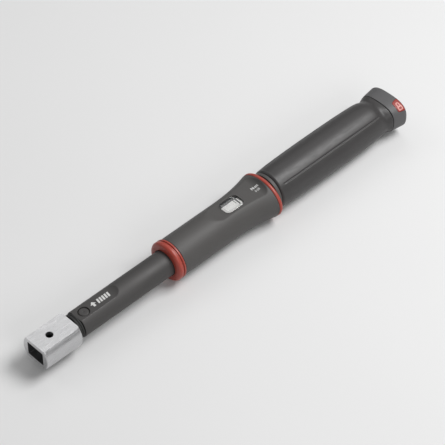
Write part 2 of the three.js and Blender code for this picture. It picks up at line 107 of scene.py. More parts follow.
def place(x, y, z):
    """A place in tool millimetres as one in row metres."""
    return Vector((FRONT_X + x * MM, y * MM, AXIS_Z + z * MM))


def tool_place(spot):
    """A place in row metres as one in tool millimetres."""
    return (spot.x - FRONT_X) / MM, spot.y / MM, (spot.z - AXIS_Z) / MM


class Span:
    """A CAD node's box in tool millimetres."""

    def __init__(self, node):
        low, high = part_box(node)
        self.x0, self.x1 = (low.x - FRONT_X) / MM, (high.x - FRONT_X) / MM
        self.z0, self.z1 = (low.z - AXIS_Z) / MM, (high.z - AXIS_Z) / MM
        self.x = (self.x0 + self.x1) / 2
        self.length, self.width = self.x1 - self.x0, (high.y - low.y) / MM


# The CAD model's rounds have 32 sides with a flat side down, so their boxes are this much smaller.
FACETED = math.cos(math.pi / 32)


def radius_of(node):
    return Span(node).width / 2 / FACETED


# ---------------------------------------------------------------- node materials

# The Mix node's sockets for two colours and for the colour between them.
MIX_FIRST, MIX_SECOND, MIX_RESULT = 6, 7, 2


class Nodes:
    """A material's nodes, with short calls for the ones used here."""

    def __init__(self, name):
        self.material = bpy.data.materials.new(name)
        self.material.use_nodes = True
        self.tree = self.material.node_tree
        self.shader = self.tree.nodes["Principled BSDF"]
        self.where = self.tree.nodes.new("ShaderNodeTexCoord").outputs["Object"]

    def add(self, kind, **inputs):
        node = self.tree.nodes.new(kind)
        for key, value in inputs.items():
            self.put(node.inputs[key.replace("_", " ")], value)
        return node

    def put(self, socket, value):
        if isinstance(value, bpy.types.NodeSocket):
            self.tree.links.new(value, socket)
        else:
            socket.default_value = value

    def set(self, **inputs):
        for key, value in inputs.items():
            self.put(self.shader.inputs[key.replace("_", " ")], value)

    def stretched(self, scale):
        """Object coordinates drawn out, so that what follows them runs in streaks."""
        return self.add("ShaderNodeMapping", Vector=self.where, Scale=scale).outputs["Vector"]

    def noise(self, size, detail=3.0, where=None):
        """Noise whose patches are about this many millimetres across."""
        vector = where or self.where
        node = self.add("ShaderNodeTexNoise", Vector=vector, Scale=1 / (size * MM), Detail=detail)
        return node.outputs["Fac"]

    def cells(self, size):
        """Distance from the middle of cells that are about this many millimetres across."""
        node = self.add("ShaderNodeTexVoronoi", Vector=self.where, Scale=1 / (size * MM))
        return node.outputs["Distance"]

    def ranged(self, value, low, high, to_low, to_high):
        node = self.add("ShaderNodeMapRange", Value=value)
        for key, number in (("From Min", low), ("From Max", high), ("To Min", to_low), ("To Max", to_high)):
            node.inputs[key].default_value = number
        return node.outputs["Result"]

    def levelled(self, value, low, high):
        """A noise whose usual span, from 0.3 to 0.7, is brought to this one."""
        return self.ranged(value, 0.3, 0.7, low, high)

    def mixed(self, factor, first, second):
        """A colour between these two, each of them three numbers or a socket."""
        node = self.tree.nodes.new("ShaderNodeMix")
        node.data_type = "RGBA"
        self.put(node.inputs["Factor"], factor)
        for index, colour in ((MIX_FIRST, first), (MIX_SECOND, second)):
            whole = colour if isinstance(colour, bpy.types.NodeSocket) else (*colour, 1)
            self.put(node.inputs[index], whole)
        return node.outputs[MIX_RESULT]

    def bump(self, height, depth, under=None):
        """A bump this many millimetres deep, over another one if under is given."""
        node = self.add("ShaderNodeBump", Height=height, Distance=depth * MM)
        node.inputs["Strength"].default_value = 1
        if under:
            self.put(node.inputs["Normal"], under)
        return node.outputs["Normal"]

    def edges(self):
        """1 on sharp outer edges and 0 elsewhere, for painting a highlight along those edges."""
        pointed = self.tree.nodes.new("ShaderNodeNewGeometry").outputs["Pointiness"]
        return self.ranged(pointed, 0.54, 0.62, 0, 1)


def plain_finish(name, colour, gloss, grain, metallic=0.0):
    """A finish with patches of colour and gloss over a fine grain.

    colour is the patches' size and their two colours, gloss the patches' size and their two
    roughnesses, and grain its size and its depth.
    """
    n = Nodes(name)
    n.set(
        Base_Color=n.mixed(n.noise(colour[0]), *colour[1:]),
        Roughness=n.levelled(n.noise(gloss[0]), *gloss[1:]),
        Normal=n.bump(n.noise(grain[0]), grain[1]),
        Metallic=metallic,
    )
    return n.material


def turned_metal(name, streak, patch, dark, light):
    """Bare metal with turning marks round the wrench's axis."""
    n = Nodes(name)
    turning = n.noise(0.2, 3, n.stretched((1, streak, streak)))
    n.set(
        Base_Color=n.mixed(n.noise(patch), dark, light),
        Roughness=n.levelled(turning, 0.26, 0.42),
        Normal=n.bump(turning, 0.008),
        Metallic=1.0,
    )
    return n.material


def satin_chrome():
    n = Nodes("satin_chrome")
    streaks = n.noise(0.35, 4, n.stretched((0.06, 1, 1)))
    clouds = n.noise(9, 2)
    n.set(
        Base_Color=n.mixed(clouds, (0.53, 0.53, 0.54), (0.62, 0.62, 0.625)),
        Roughness=n.levelled(streaks, 0.24, 0.38),
        Normal=n.bump(streaks, 0.008, n.bump(n.noise(0.12), 0.004)),
        Metallic=1.0,
    )
    return n.material


def black_steel():
    n = Nodes("black_steel")
    grain = n.noise(0.09, 3)
    clouds = n.noise(14, 3)
    n.set(
        Base_Color=n.mixed(clouds, (0.048, 0.046, 0.045), (0.062, 0.059, 0.058)),
        Roughness=n.levelled(clouds, 0.52, 0.62),
        Normal=n.bump(grain, 0.010),
        Metallic=0.25,
    )
    return n.material


def grey_plastic():
    """Fine-textured moulded plastic: small pits over a very slight waviness, and a painted highlight on its
    sharp edges.
    """
    n = Nodes("grey_plastic")
    pits = n.cells(0.28)
    grain = n.noise(0.12, 4)
    clouds = n.noise(18, 3)
    colour = n.mixed(clouds, (0.055, 0.052, 0.050), (0.070, 0.067, 0.065))
    n.set(
        # Lighter colour on sharp edges: a painted highlight.
        Base_Color=n.mixed(n.edges(), colour, (0.09, 0.088, 0.086)),
        Roughness=n.levelled(grain, 0.50, 0.62),
        Normal=n.bump(pits, 0.022, n.bump(grain, 0.012)),
    )
    return n.material


def black_plastic():
    """Semi-gloss moulded plastic with a faint orange-peel skin, light handling scuffs in its gloss, and a
    painted highlight on its sharp edges.
    """
    n = Nodes("black_plastic")
    skin = n.noise(1.6, 2)
    grain = n.noise(0.14, 3)
    scuffs = n.noise(1.3, 5, n.stretched((0.25, 1, 1)))
    colour = n.mixed(n.noise(22, 3), (0.031, 0.029, 0.029), (0.040, 0.038, 0.038))
    n.set(
        # Lighter colour on sharp edges: a painted highlight.
        Base_Color=n.mixed(n.edges(), colour, (0.055, 0.054, 0.054)),
        Roughness=n.ranged(scuffs, 0.35, 0.75, 0.41, 0.51),
        Normal=n.bump(skin, 0.012, n.bump(grain, 0.008)),
    )
    return n.material


def textured_black_painted_light():
    """The lock cap's plastic: a black lightened as painted light for the cap's bright top, with a fine
    moulded texture.
    """
    n = Nodes("textured_black_painted_light")
    pits = n.cells(0.3)
    grain = n.noise(0.14, 3)
    n.set(
        # The lighter black paints the light that falls on the cap's top.
        Base_Color=n.mixed(n.noise(14, 3), (0.076, 0.075, 0.077), (0.090, 0.089, 0.091)),
        Roughness=n.levelled(grain, 0.46, 0.58),
        Normal=n.bump(pits, 0.018, n.bump(grain, 0.010)),
    )
    return n.material


def red_plastic():
    n = Nodes("red_plastic")
    clouds = n.noise(6, 2)
    colour = n.mixed(clouds, (0.31, 0.042, 0.027), (0.36, 0.052, 0.034))
    n.set(
        # Lighter red on sharp edges: a painted highlight.
        Base_Color=n.mixed(n.edges(), colour, (0.50, 0.09, 0.06)),
        Roughness=n.levelled(n.noise(2.5, 2), 0.34, 0.42),
        Normal=n.bump(n.noise(2.5, 2), 0.006),
    )
    return n.material


def badge_red():
    """The lock badge's plastic, deeper and less glossy than the rings."""
    n = Nodes("badge_red")
    n.set(
        Base_Color=n.mixed(n.noise(3, 2), (0.24, 0.022, 0.016), (0.29, 0.030, 0.022)),
        Roughness=n.levelled(n.noise(2), 0.46, 0.56),
        Normal=n.bump(n.noise(1.5), 0.004),
    )
    return n.material


def clear_acrylic():
    n = Nodes("clear_acrylic")
    n.set(
        Base_Color=n.mixed(n.noise(4), (0.97, 0.98, 0.98), (1.0, 1.0, 1.0)),
        Roughness=n.ranged(n.noise(2.5), 0.35, 0.75, 0.015, 0.05),
        Normal=n.bump(n.noise(3.0), 0.004),
        Transmission_Weight=1.0,
        IOR=1.49,
    )
    return n.material


def pale_floor():
    n = Nodes("pale_floor")
    n.set(
        Base_Color=n.mixed(n.noise(120, 2), (0.70, 0.70, 0.70), (0.72, 0.72, 0.72)),
        Roughness=n.levelled(n.noise(30, 2), 0.85, 0.95),
    )
    return n.material


# By the names of the record's material slots.
MATERIALS = {
    "satin_chrome": satin_chrome(),
    "black_steel": black_steel(),
    "steel": turned_metal("machined_steel", 0.08, 4, (0.50, 0.50, 0.52), (0.62, 0.62, 0.63)),
    "spring_steel": plain_finish(
        "spring_steel", (2.5, (0.20, 0.20, 0.22), (0.34, 0.33, 0.33)), (0.6, 0.3, 0.5), (0.1, 0.006), 1.0,
    ),
    "brass": turned_metal("brass", 0.1, 3, (0.58, 0.42, 0.17), (0.70, 0.53, 0.26)),
    "rubber": plain_finish(
        "seal_rubber", (3, (0.012, 0.012, 0.012), (0.022, 0.022, 0.021)), (1.2, 0.65, 0.8), (0.15, 0.02),
    ),
    "grey_plastic": grey_plastic(),
    "black_plastic": black_plastic(),
    "red_plastic": red_plastic(),
    "scale_white": plain_finish(
        "scale_white", (5, (0.88, 0.87, 0.84), (0.93, 0.92, 0.90)), (0.6, 0.38, 0.5), (0.15, 0.004),
    ),
    "clear_lens": clear_acrylic(),
}

BADGE_RED = badge_red()
TEXTURED_BLACK_PAINTED_LIGHT = textured_black_painted_light()
# Black print; the same black also paints the shade band on the scale slide.
BLACK_PRINT_AND_SHADE = plain_finish(
    "black_print_and_shade", (0.8, (0.010, 0.010, 0.010), (0.022, 0.022, 0.022)), (0.3, 0.5, 0.65), (0.1, 0.003),
)
WHITE_PRINT = plain_finish(
    "white_print", (0.7, (0.50, 0.50, 0.49), (0.66, 0.66, 0.65)), (0.3, 0.45, 0.6), (0.1, 0.003),
)
PINK_PRINT = plain_finish(
    "pink_print", (1.5, (0.60, 0.26, 0.23), (0.68, 0.32, 0.28)), (0.5, 0.45, 0.6), (0.4, 0.004),
)
# Unplated steel, darkened as painted shade, for the inside of the head's holes.
DULL_SHADED_STEEL = plain_finish(
    "dull_steel_painted_shade", (3, (0.10, 0.10, 0.105), (0.16, 0.16, 0.16)), (0.6, 0.4, 0.6), (0.15, 0.01), 0.8,
)
# Black steel whose finish has rubbed off, lightened further as a painted highlight, for the edges of the
# tube's flat.
WORN_AND_HIGHLIT_STEEL = plain_finish(
    "worn_and_highlit_steel", (0.7, (0.10, 0.098, 0.096), (0.19, 0.187, 0.184)), (0.4, 0.4, 0.55), (0.1, 0.006), 0.6,
)


# ---------------------------------------------------------------- mesh tools


def along(x, y, z):
    """For outlines and profiles drawn along the wrench."""
    return x, y, z


def sideways(x, z, y):
    """For an outline drawn as a side view and drawn out across the wrench."""
    return x, y, z


def endways(y, z, x):
    """For an outline drawn as an end view and drawn out along the wrench."""
    return x, y, z


def rising(x):
    """For a turned piece that stands up at this place."""
    return lambda height, u, v: (x + u, v, height)


def hanging(x):
    """For a turned piece whose head faces down at this place; heights count downwards."""
    return lambda depth, u, v: (x + u, -v, -depth)


def beside(y):
    """For a turned piece that lies along the wrench beside its axis."""
    return lambda x, u, v: (x, y + u, v)


def new_piece(name, points, faces):
    mesh = bpy.data.meshes.new(name)
    mesh.from_pydata([place(*p) for p in points], [], faces)
    shape = bmesh.new()
    shape.from_mesh(mesh)
    bmesh.ops.remove_doubles(shape, verts=shape.verts, dist=1e-7)
    bmesh.ops.recalc_face_normals(shape, faces=shape.faces)
    shape.to_mesh(mesh)
    shape.free()
    piece = bpy.data.objects.new(name, mesh)
    bpy.context.collection.objects.link(piece)
    return piece


def even_angles(count):
    return [2 * math.pi * i / count for i in range(count)]


ROUND, SMALL_ROUND, FINE_ROUND = even_angles(128), even_angles(64), even_angles(160)
EVEN_COUNT = 96
ROUNDING_STEPS = 5
# Beyond the outside of every piece, for tools that cut right through.
FAR = 20


def with_dense(centres, reach, step):
    """Even angles, with closer ones round these centres, all in degrees."""
    found = {round(360 * i / EVEN_COUNT, 4) for i in range(EVEN_COUNT)}
    for centre in centres:
        steps = round(2 * reach / step)
        found |= {round((centre - reach + i * step) % 360, 4) for i in range(steps + 1)}
    kept = []
    for angle in sorted(found):
        if not kept or angle - kept[-1] > step * 0.6:
            kept.append(angle)
    return [math.radians(a) for a in kept]


def oval(angle, width, height, squareness):
    """A point of an oval, an ellipse if squareness is 2 and more like a rectangle above that."""
    c, s = math.cos(angle), math.sin(angle)
    y = math.copysign(abs(c) ** (2 / squareness), c) * width
    z = math.copysign(abs(s) ** (2 / squareness), s) * height
    return y, z


def lathe(name, profile, angles=ROUND, shape=None, to_tool=along):
    """Joins sections [x, half width, half height, squareness] into a solid.

    A section is round if only its radius is given, a radius of 0 closes an end, and a profile
    that ends where it starts makes a ring. shape changes a section's points, as (x, y, z).
    """
    sections = [(s[0], s[1], s[2] if len(s) > 2 else s[1], s[3] if len(s) > 3 else 2) for s in profile]
    closed = sections[0] == sections[-1]
    if closed:
        sections.pop()
    points, rings = [], []
    for x, width, height, squareness in sections:
        ring = []
        for angle in angles if width else [0]:
            y, z = oval(angle, width, height, squareness)
            if shape:
                y, z = shape(x, y, z)
            ring.append(len(points))
            points.append(to_tool(x, y, z))
        rings.append(ring)
    faces = []
    for a, b in list(zip(rings, rings[1:])) + ([(rings[-1], rings[0])] if closed else []):
        for i in range(len(angles)):
            j = (i + 1) % len(angles)
            corners = (a[i % len(a)], a[j % len(a)], b[j % len(b)], b[i % len(b)])
            faces.append(tuple(dict.fromkeys(corners)))
    return new_piece(name, points, faces)


def rounded(outline, closed=False):
    """The outline with its corners rounded off: (x, r, reach) is rounded from reach before it."""
    n = len(outline)
    found = []
    for i, point in enumerate(outline):
        at_end = not closed and i in (0, n - 1)
        if at_end or len(point) < 3 or not point[2]:
            found.append(tuple(point[:2]))
            continue
        corner = Vector(point[:2])
        before = Vector(outline[i - 1][:2]) - corner
        after = Vector(outline[(i + 1) % n][:2]) - corner
        reach = min(point[2], before.length * 0.48, after.length * 0.48)
        start = corner + before.normalized() * reach
        end = corner + after.normalized() * reach
        for k in range(ROUNDING_STEPS + 1):
            t = k / ROUNDING_STEPS
            found.append(tuple(start.lerp(corner, t).lerp(corner.lerp(end, t), t)))
    if closed:
        found.append(found[0])
    return found


def smoothed(stations, step):
    """Closer stations on smooth curves through the given ones."""
    xs = [s[0] for s in stations]

    def slope(i, k):
        a, b = max(i - 1, 0), min(i + 1, len(xs) - 1)
        return (stations[b][k] - stations[a][k]) / (xs[b] - xs[a])

    found = []
    for i in range(len(xs) - 1):
        width = xs[i + 1] - xs[i]
        count = max(1, math.ceil(width / step))
        for j in range(count):
            t = j / count
            row = [xs[i] + width * t]
            for k in range(1, len(stations[0])):
                v0, v1 = stations[i][k], stations[i + 1][k]
                m0, m1 = slope(i, k) * width, slope(i + 1, k) * width
                row.append(
                    v0 * (2 * t**3 - 3 * t**2 + 1) + m0 * (t**3 - 2 * t**2 + t)
                    + v1 * (3 * t**2 - 2 * t**3) + m1 * (t**3 - t**2)
                )
            found.append(tuple(row))
    found.append(tuple(stations[-1]))
    return found


def drill(start, radius, to_tool, angles=SMALL_ROUND):
    """A tool that cuts a round hole from start outwards."""
    return lathe("drill", [(start, 0), (start, radius), (FAR, radius), (FAR, 0)], angles, to_tool=to_tool)


def prism(name, outline, low, high, to_tool=along):
    """A solid between two copies of an outline."""
    n = len(outline)
    points = [to_tool(u, v, h) for h in (low, high) for u, v in outline]
    faces = [tuple(range(n)), tuple(range(n, 2 * n))]
    faces += [(i, (i + 1) % n, n + (i + 1) % n, n + i) for i in range(n)]
    return new_piece(name, points, faces)


def arc(x, y, radius, start, end, steps):
    """Points on an arc, its angles in degrees."""
    found = []
    for i in range(steps + 1):
        a = math.radians(start + (end - start) * i / steps)
        found.append((x + radius * math.cos(a), y + radius * math.sin(a)))
    return found


def rectangle(x, y, length, width, corner=0, steps=4):
    """An outline round this middle, its corners rounded to this radius."""
    if not corner:
        a, b = length / 2, width / 2
        return [(x - a, y - b), (x + a, y - b), (x + a, y + b), (x - a, y + b)]
    a, b = length / 2 - corner, width / 2 - corner
    found = []
    for sx, sy, start in ((1, -1, -90), (1, 1, 0), (-1, 1, 90), (-1, -1, 180)):
        found += arc(x + sx * a, y + sy * b, corner, start, start + 90, steps)
    return found


def applied(piece):
    """Turns the piece's modifiers into its mesh."""
    graph = bpy.context.evaluated_depsgraph_get()
    mesh = bpy.data.meshes.new_from_object(piece.evaluated_get(graph))
    piece.modifiers.clear()
    piece.data = mesh
    return piece


def combine(piece, tool, operation):
    modifier = piece.modifiers.new("combine", "BOOLEAN")
    modifier.object = tool
    modifier.operation = operation
    modifier.solver = "EXACT"
    applied(piece)
    bpy.data.objects.remove(tool)
    return piece


def cut(piece, *tools):
    for tool in tools:
        combine(piece, tool, "DIFFERENCE")
    return piece


def united(piece, *others):
    for other in others:
        combine(piece, other, "UNION")
    return piece


def bevelled(piece, width, segments=3, angle=30):
    """Rounds the edges that turn by more than this angle."""
    modifier = piece.modifiers.new("bevel", "BEVEL")
    modifier.width = width * MM
    modifier.segments = segments
    modifier.limit_method = "ANGLE"
    modifier.angle_limit = math.radians(angle)
    return applied(piece)


def merged(name, pieces):
    """Several pieces' meshes as one piece."""
    shape = bmesh.new()
    for piece in pieces:
        shape.from_mesh(piece.data)
        bpy.data.objects.remove(piece)
    mesh = bpy.data.meshes.new(name)
    shape.to_mesh(mesh)
    shape.free()
    whole = bpy.data.objects.new(name, mesh)
    bpy.context.collection.objects.link(whole)
    return whole


def weigh_normals(piece):
    """Keeps large flat faces flat-looking beside their rounded edges."""
    modifier = piece.modifiers.new("normals", "WEIGHTED_NORMAL")
    modifier.keep_sharp = True
    modifier.weight = 100
    applied(piece)


def finished(piece, material):
    """Gives the piece this material, and smooth shading with sharp edges over 32 degrees."""
    piece.data.materials.clear()
    piece.data.materials.append(material)
    piece.data.shade_smooth()
    piece.data.set_sharp_from_angle(angle=math.radians(32))


def fit(piece, body, slot, nodes=(), material=None, flat_faced=False):
    """Finishes the piece, and says what it rides on and replaces."""
    finished(piece, material or MATERIALS[slot])
    if flat_faced:
        weigh_normals(piece)
    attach(piece, body)
    if nodes:
        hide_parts(*nodes)
    return piece


# ---------------------------------------------------------------- head, pivot pin and seal

HEAD = Span("head_receptacle")
HEAD_RADIUS = radius_of("head_receptacle")
HEAD_LENGTH = 24.8
HEAD_FLAT = HEAD.z1
SOCKET_WIDTH, SOCKET_HEIGHT, SOCKET_DEPTH = 12.1, 9.1, 20
SOCKET_CORNER = 0.5
CATCH_X, CATCH_RADIUS = 10.2, 2.15
NECK_RADIUS, ARM_HALF = 5.3, 2.6
CONE_START, CONE_END = 40, 44
OUTER_BEVEL, INNER_BEVEL = 0.5, 0.25
PIN = Span("pivot_pin")
PIN_RADIUS = 3
TUMBLER_X = Span("tumbler_block").x
TUMBLER_HOLE = 2.9


def head_bar():
    bar = lathe("head_bar", rounded([
        (0, 0), (0, HEAD_RADIUS, 0.8), (HEAD_LENGTH, HEAD_RADIUS, 1.5), (HEAD_LENGTH, NECK_RADIUS),
        (CONE_START, NECK_RADIUS, 1), (CONE_END, ARM_HALF), (CONE_END, 0),
    ]))
    arm = rectangle(0, 0, 2 * ARM_HALF, 2 * ARM_HALF, 0.3)
    united(bar, prism("arm", arm, CONE_START - 1, HEAD.x1, endways))
    for side in (1, -1):
        slab = rectangle(HEAD_LENGTH / 2, side * (HEAD_FLAT + FAR / 2), HEAD_LENGTH + 4, FAR)
        cut(bar, prism("slab", slab, -FAR, FAR, sideways))
    bevelled(bar, OUTER_BEVEL, 4, 40)
    socket = rectangle(0, 0, SOCKET_WIDTH, SOCKET_HEIGHT, SOCKET_CORNER)
    return bevelled(cut(
        bar,
        prism("socket", socket, -1, SOCKET_DEPTH, endways),
        drill(0, CATCH_RADIUS, rising(CATCH_X), ROUND),
        drill(-FAR, PIN_RADIUS + GAP, rising(PIN.x), ROUND),
        drill(-FAR, TUMBLER_HOLE, rising(TUMBLER_X), ROUND),
    ), INNER_BEVEL, angle=35)


def dull_and_shaded_inside(bar):
    """Gives the faces inside the socket and the catch hole their own finish: dull steel darkened as painted
    shade.
    """
    bar.data.materials.append(DULL_SHADED_STEEL)
    for face in bar.data.polygons:
        x, y, z = tool_place(face.center)
        within = abs(y) < SOCKET_WIDTH / 2 + 0.05 and abs(z) < SOCKET_HEIGHT / 2 + 0.05
        in_socket = within and 0.4 < x < SOCKET_DEPTH + 0.05
        in_hole = math.hypot(x - CATCH_X, y) < CATCH_RADIUS + 0.02 and z < HEAD_FLAT - 0.35
        # Faces in these recesses get the darker steel: painted shade.
        face.material_index = 1 if in_socket or in_hole else 0


HEAD_BAR = fit(head_bar(), "head", "satin_chrome", ["head_receptacle"], flat_faced=True)
dull_and_shaded_inside(HEAD_BAR)


def pivot_pin():
    """A blackened pin with a turned chamfer and a centre mark, just below the flat."""
    return lathe("pivot_pin_steel", rounded([
        (PIN.z0, 0), (PIN.z0, PIN_RADIUS, 0.4), (PIN.z1 - 0.45, PIN_RADIUS, 0.1),
        (PIN.z1, PIN_RADIUS - 0.5, 0.15), (PIN.z1, 0.6, 0.1), (PIN.z1 - 0.4, 0),
    ]), SMALL_ROUND, to_tool=rising(PIN.x))


fit(pivot_pin(), "frame", "black_steel", ["pivot_pin"])


def head_seal():
    """A ring with a groove round its middle."""
    seal, outer, inner = Span("head_seal"), 7.4, 5.9
    groove_half, groove_depth = 0.5, 0.45
    return lathe("head_seal_ring", rounded([
        (seal.x0, inner, 0.2), (seal.x0, outer, 0.5), (seal.x - groove_half, outer, 0.2),
        (seal.x, outer - groove_depth, 0.2), (seal.x + groove_half, outer, 0.2),
        (seal.x1, outer, 0.5), (seal.x1, inner, 0.2),
    ], closed=True))


fit(head_seal(), "frame", "rubber", ["head_seal"])


# ---------------------------------------------------------------- tube

TUBE = Span("tube")
TUBE_RADIUS, TUBE_BORE = 7.8, 5.7
TUBE_FLAT = 6.45
FLAT_END, FLAT_RUN_OUT = TUBE.x0 + 29, 5
FLAT_BEVEL = 0.22
PIN_HOLE_LIP = 0.25
SLOT_START, SLOT_WIDTH, SLOT_CORNER = 147.25, 4.2, 1
SLEEVE_SCREW = Span("sleeve_screw")
SCREW_HOLE = 1.55
FINE_BEVEL = 0.06


def tube_flat_tool():
    """A slab whose end curves up to the tube's surface, as a milling cutter leaves it."""
    rise, run = TUBE_RADIUS - TUBE_FLAT + 0.05, FLAT_RUN_OUT
    radius = (run**2 + rise**2) / (2 * rise)
    turn = math.degrees(math.asin(run / radius))
    run_out = arc(FLAT_END - run, TUBE_FLAT + radius, radius, -90, turn - 90, 10)
    outline = [(TUBE.x0 - 1, TUBE_FLAT)] + run_out + [(FLAT_END, FAR), (TUBE.x0 - 1, FAR)]
    return prism("flat", outline, -FAR, FAR, sideways)


def tube_body():
    body = lathe("tube_body", rounded([
        (TUBE.x0, TUBE_BORE, 0.3), (TUBE.x0, TUBE_RADIUS, 0.6), (TUBE.x1, TUBE_RADIUS, 0.4),
        (TUBE.x1, TUBE_BORE, 0.3),
    ], closed=True))
    bevelled(cut(body, tube_flat_tool()), FLAT_BEVEL, angle=20)
    hole = PIN_RADIUS + GAP
    wide = hole + PIN_HOLE_LIP
    pin_hole = [
        (-FAR, 0), (-FAR, hole), (TUBE_FLAT - PIN_HOLE_LIP, hole), (TUBE_FLAT, wide), (FAR, wide), (FAR, 0),
    ]
    slot_end = Span("adjusting_nut").x1 + 0.75
    slot = rectangle((SLOT_START + slot_end) / 2, 0, slot_end - SLOT_START, SLOT_WIDTH, SLOT_CORNER)
    return cut(
        body,
        lathe("pin_hole", pin_hole, to_tool=rising(PIN.x)),
        prism("key_slot", slot, 0, FAR),
        drill(0, SCREW_HOLE, hanging(SLEEVE_SCREW.x)),
    )


def worn_and_highlit_edges(body):
    """Gives the rounded edges of the tube's flat their rubbed finish and a painted highlight."""
    body.data.materials.append(WORN_AND_HIGHLIT_STEEL)
    for face in body.data.polygons:
        x, y, z = tool_place(face.center)
        up = face.normal.z  # 1 on the flat itself
        beside_flat = 0.85 < up < 0.999 and abs(y) > 3.9 and 6.2 < z < TUBE_FLAT + 0.02 and x < FLAT_END
        before_flat = 0.1 < up < 0.999 and abs(y) < 4.5 and z > TUBE_FLAT - 0.3 and x < TUBE.x0 + 0.3
        # Lighter steel on these faces: rubbed wear, and a painted highlight where the edges catch the
        # light.
        face.material_index = 1 if beside_flat or before_flat else 0


TUBE_PIECE = fit(tube_body(), "frame", "black_steel", ["tube"], flat_faced=True)
worn_and_highlit_edges(TUBE_PIECE)


# ---------------------------------------------------------------- rings round the sleeve

# Bore of what goes round the tube.
BORE = 8.1


def front_collar():
    """A crowned ring with a fine groove beside the sleeve."""
    ring = Span("front_ring")
    top = radius_of("front_ring")
    groove, floor = ring.x1 - 1.5, top - 0.8
    return lathe("front_collar", rounded([
        (ring.x0, BORE, 0.2), (ring.x0, 10, 0.7), (ring.x0 + 0.5, 11.4, 0.6), (ring.x0 + 1.6, top, 1.0),
        (groove - 0.45, top - 0.25, 0.25), (groove - 0.25, floor, 0.1), (groove + 0.25, floor, 0.1),
        (groove + 0.45, top - 0.1, 0.2), (ring.x1, top - 0.15, 0.4), (ring.x1, BORE, 0.2),
    ], closed=True))


fit(front_collar(), "frame", "red_plastic", ["front_ring"])

REAR_RING = Span("rear_ring")
REAR_HALF_WIDTH, REAR_HALF_HEIGHT = 15.6, 12.5


def rear_collar():
    """A thin oval ring with a crowned edge."""
    middle, half = REAR_RING.x, REAR_RING.length / 2
    edge = rounded([
        (REAR_RING.x0, 0, 0), (REAR_RING.x0, -0.35, 0.5), (middle - 0.4 * half, 0, 0.4),
        (middle + 0.4 * half, 0, 0.4), (REAR_RING.x1, -0.35, 0.5), (REAR_RING.x1, -1, 0),
    ])[1:-1]
    outside = [(x, REAR_HALF_WIDTH + drop, REAR_HALF_HEIGHT + drop) for x, drop in edge]
    inside = [(REAR_RING.x1, BORE, BORE), (REAR_RING.x0, BORE, BORE)]
    return lathe("rear_collar", outside + inside + outside[:1], FINE_ROUND)


fit(rear_collar(), "frame", "red_plastic", ["rear_ring"])


def washer():
    ring, outer = Span("grip_washer"), 11
    return lathe("grip_washer_ring", rounded([
        (ring.x0, BORE, 0.1), (ring.x0, outer, 0.2), (ring.x1, outer, 0.2), (ring.x1, BORE, 0.1),
    ], closed=True))


fit(washer(), "frame", "black_plastic", ["grip_washer"])


# ---------------------------------------------------------------- sleeve

SLEEVE = Span("sleeve")
SLEEVE_RADIUS = 11.6
FLARE_START = 135
FLARE_WIDTH, FLARE_HEIGHT = REAR_HALF_WIDTH - SLEEVE_RADIUS - 0.1, 0.85
FLAT_HEIGHT = 9.8
FLAT_EDGE = 0.13
FLAT_CORNER_ANGLES = (56, 124, 236, 304)
RAMP_START, RAMP_END, RAMP_RISE = 124, 131, 1.9
SWEEP_START, SWEEP_RADIUS = 160.5, 5.5
WINDOW = Span("window_lens")
WINDOW_LENGTH, WINDOW_WIDTH, WINDOW_CORNER = 13.6, 9.6, 3
BEZEL = 0.3
CHANNEL_START, CHANNEL_WIDTH, CHANNEL_TOP = 119, 10, 9.1
WELL_FLOOR, WELL_RADIUS, WELL_MOUTH = 9.6, 2.9, 3.5


def sleeve_flat(x):
    """Height of the flat on the sleeve's top; without one, a height above the sleeve."""
    if x < RAMP_START:
        return FAR
    if x < RAMP_END:
        return FLAT_HEIGHT + RAMP_RISE * (RAMP_END - x) / (RAMP_END - RAMP_START)
    if x < SWEEP_START:
        return FLAT_HEIGHT
    if x < SWEEP_START + SWEEP_RADIUS:
        return FLAT_HEIGHT + SWEEP_RADIUS - math.sqrt(SWEEP_RADIUS**2 - (x - SWEEP_START) ** 2)
    return FAR


def softly_under(value, limit, blend):
    """value, held below limit with a rounded shoulder."""
    over = (limit - value) / blend
    return value if over > 30 else limit - blend * math.log1p(math.exp(over))


def sleeve_shape(x, y, z):
    return y, math.copysign(softly_under(abs(z), sleeve_flat(x), FLAT_EDGE), z)


def sleeve_section(x):
    """The sleeve's section before its flats are pressed in: round, then flaring to an oval."""
    t = max(0, (x - FLARE_START) / (SLEEVE.x1 - FLARE_START))
    return x, SLEEVE_RADIUS + FLARE_WIDTH * t**2.4, SLEEVE_RADIUS + FLARE_HEIGHT * t**2


def spaced(start, end, step):
    """Evenly spaced numbers from start to end, at most a step apart."""
    count = math.ceil((end - start) / step)
    return [start + (end - start) * i / count for i in range(count + 1)]


def window_outline(grow):
    """The window's outline, this much larger all round."""
    size = WINDOW_LENGTH + 2 * grow, WINDOW_WIDTH + 2 * grow
    return rectangle(WINDOW.x, 0, *size, WINDOW_CORNER + grow, steps=10)


